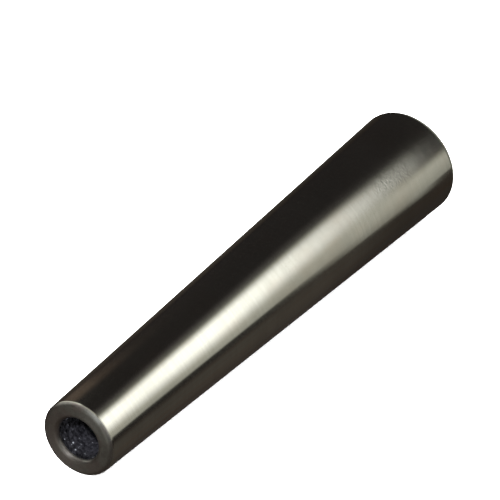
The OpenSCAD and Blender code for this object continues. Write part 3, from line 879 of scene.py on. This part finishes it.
def key_light(g, x, turn):
    """The main softbox, with a bright core and a dimmer shelf below it. turn is in degrees down from
    the camera, about the axis, and station is where the part mirrors that point of the tent, in mm."""
    station = g.math("DIVIDE", g.math("SUBTRACT", x, MEET), SPREAD * MM)
    fade = g.profile(station, 0.84, (-26.0, 67.0, -0.46), (53.0, 136.0, -0.38))
    top = g.profile(station, -7.8, (-114.0, -60.0, -3.5), (-30.0, 30.0, -7.0), (50.0, 90.0, 11.0),
                    (90.0, 120.0, 37.0))
    low = g.profile(station, 55.5, (-100.0, 20.0, 3.0), (20.0, 92.0, 16.0), (112.0, 132.0, 8.0),
                    (146.0, 160.0, -10.0))
    above = g.profile(g.math("SUBTRACT", turn, top), 0.0, (-8.0, 13.0, 0.9), (-26.0, 6.0, 0.1))
    slope = g.math("MULTIPLY", g.rise(turn, 38.0, 84.0, 1.0, 0.5), g.rise(station, 85.0, 112.0, 1.0, 1.2))
    shelf = g.product(0.31, slope, above, g.rise(g.math("SUBTRACT", turn, low), -2.0, 2.0, 1.0, 0.0))
    droop = g.profile(station, 13.0, (-114.0, -55.0, 3.0), (-55.0, 23.0, -9.0))
    core = g.product(fade, above, g.rise(g.math("SUBTRACT", turn, droop), 0.0, 34.0, 1.0, 0.0))
    reach = g.math("MULTIPLY", g.rise(station, -970.0, -163.0), g.rise(station, 200.0, 260.0, 1.0, 0.0))
    return g.product(g.total(shelf, core), reach)


def panel(g, x, angle, x_range, angle_range, soft_x, soft_angle, level):
    """A soft rectangular light on the tent's wall."""
    return g.product(level, g.window(x, *x_range, soft_x), g.window(angle, *angle_range, soft_angle))


def wall_light(g, x, turn):
    """The tent's dim wall, with a faint glow low down on the camera's side."""
    below = g.product(g.rise(turn, 62.0, 82.0), g.rise(turn, 95.0, 150.0, 1.0, 0.35),
                      g.rise(x, MEET + 0.08, MEET + 0.14, 0.07, 0.022))
    return g.total(g.rise(turn, -150.0, -110.0, 0.014, 0.031), below)


def room_light(g, x, lift, turn):
    """Panels round the ends and the back, for the end face, the rounded edges and the other sides."""
    top = panel(g, x, lift, (-0.5, 0.06), (66.0, 118.0), 0.1, 14.0, 0.7)
    cap = g.rise(x, -1.2, -0.95, 0.25, 0.0)
    back = panel(g, x, lift, (-0.35, 0.2), (112.0, 172.0), 0.1, 14.0, 1.0)
    fill = panel(g, x, turn, (-1.0, -0.45), (150.0, 215.0), 0.2, 30.0, 0.1)
    behind = panel(g, x, turn, (0.1, 0.8), (176.0, 200.0), 0.3, 20.0, 0.3)
    front = g.rise(x, 0.88, 1.12, 0.0, 0.38)
    return g.total(top, back, fill, cap, behind, front)


def cool_light(g, x, lift):
    """Two bluish panels off the small end."""
    left = panel(g, x, lift, (-1.45, -0.2), (-8.0, 50.0), 0.2, 24.0, 0.12)
    spot = panel(g, x, lift, (-1.45, -0.25), (52.0, 90.0), 0.1, 16.0, 1.15)
    return g.scaled((0.92, 0.97, 1.0), g.math("ADD", left, spot))


def warm_tint(g, light, turn):
    """Brown where the light is dim, cream where it is stronger, and white where it is bright."""
    patchy = g.rise(g.noise(g.place(), 9, 2.0), 0.42, 0.66)
    umber = g.blend(patchy, rgb(1.0, 0.86, 0.76), rgb(1.0, 0.73, 0.58))
    shade = g.blend(g.rise(turn, 50.0, 80.0), rgb(1.0, 0.89, 0.9), umber)
    faint = g.blend(g.rise(light, 0.03, 0.22), shade, rgb(1.0, 0.985, 0.9))
    return g.blend(g.rise(light, 0.7, 1.6), faint, rgb(1.0, 1.0, 0.99))


def tent_material():
    """Light of many levels and tints on the tent's wall. lift is in degrees from -Y up, about the axis."""
    material, g, surface = empty_material("tent_light")
    x, y, z = g.axes()
    lift = g.math("DEGREES", g.math("ARCTAN2", z, g.math("MULTIPLY", y, -1.0)))
    turn = g.math("SUBTRACT", FACING, lift)
    key = g.math("DIVIDE", key_light(g, x, turn), STEEL_SHARE)
    light = g.total(key, wall_light(g, x, turn), room_light(g, x, lift, turn))
    warm = g.scaled(warm_tint(g, light, turn), light)
    far = panel(g, x, turn, (MEET - 0.22, MEET - 0.095), (-128.0, -88.0), 0.05, 26.0, 0.13)
    brown = g.scaled((1.0, 0.72, 0.55), far)
    glow = g.add("ShaderNodeEmission")
    g.put(g.joined(warm, brown, cool_light(g, x, lift)), glow.inputs["Color"])
    g.put(glow.outputs[0], surface)
    return material


def add_tent():
    """A tent of soft light round the part. Only reflections show it."""
    rows = [(TENT_X0, 0.0, 0), (TENT_X0, TENT_R, 0), (TENT_X1, TENT_R, 0), (TENT_X1, 0.0, 0)]
    made = turned_mesh(rows, round_angles(TENT_STEPS), closed=False)
    tent = add_piece("light_tent", made, [tent_material()])
    for kind in ("camera", "diffuse", "shadow", "transmission", "volume_scatter"):
        setattr(tent, "visible_" + kind, False)


def add_lamp():
    """A soft lamp that lights dull surfaces only; the metal is lit by the tent."""
    data = bpy.data.lights.new("lamp", "SUN")
    data.energy = LAMP_ENERGY
    data.angle = LAMP_SPREAD
    lamp = bpy.data.objects.new("lamp", data)
    lamp.rotation_mode = "QUATERNION"
    lamp.rotation_quaternion = LAMP_TOWARDS.to_track_quat("Z", "Y")
    lamp.visible_glossy = False
    bpy.context.scene.collection.objects.link(lamp)


def add_world():
    """Plain white light from all round, for dull surfaces only."""
    world = bpy.data.worlds.new("white_room")
    world.use_nodes = True
    shade = world.node_tree.nodes["Background"]
    shade.inputs["Color"].default_value = rgb(1, 1, 1)
    shade.inputs["Strength"].default_value = WORLD_STRENGTH
    world.cycles_visibility.glossy = False
    bpy.context.scene.world = world


add_camera()
build_body()
build_cover()
build_garter()
dress_nodes()
add_floor()
add_tent()
add_lamp()
add_world()
bpy.context.scene.view_settings.view_transform = "Standard"
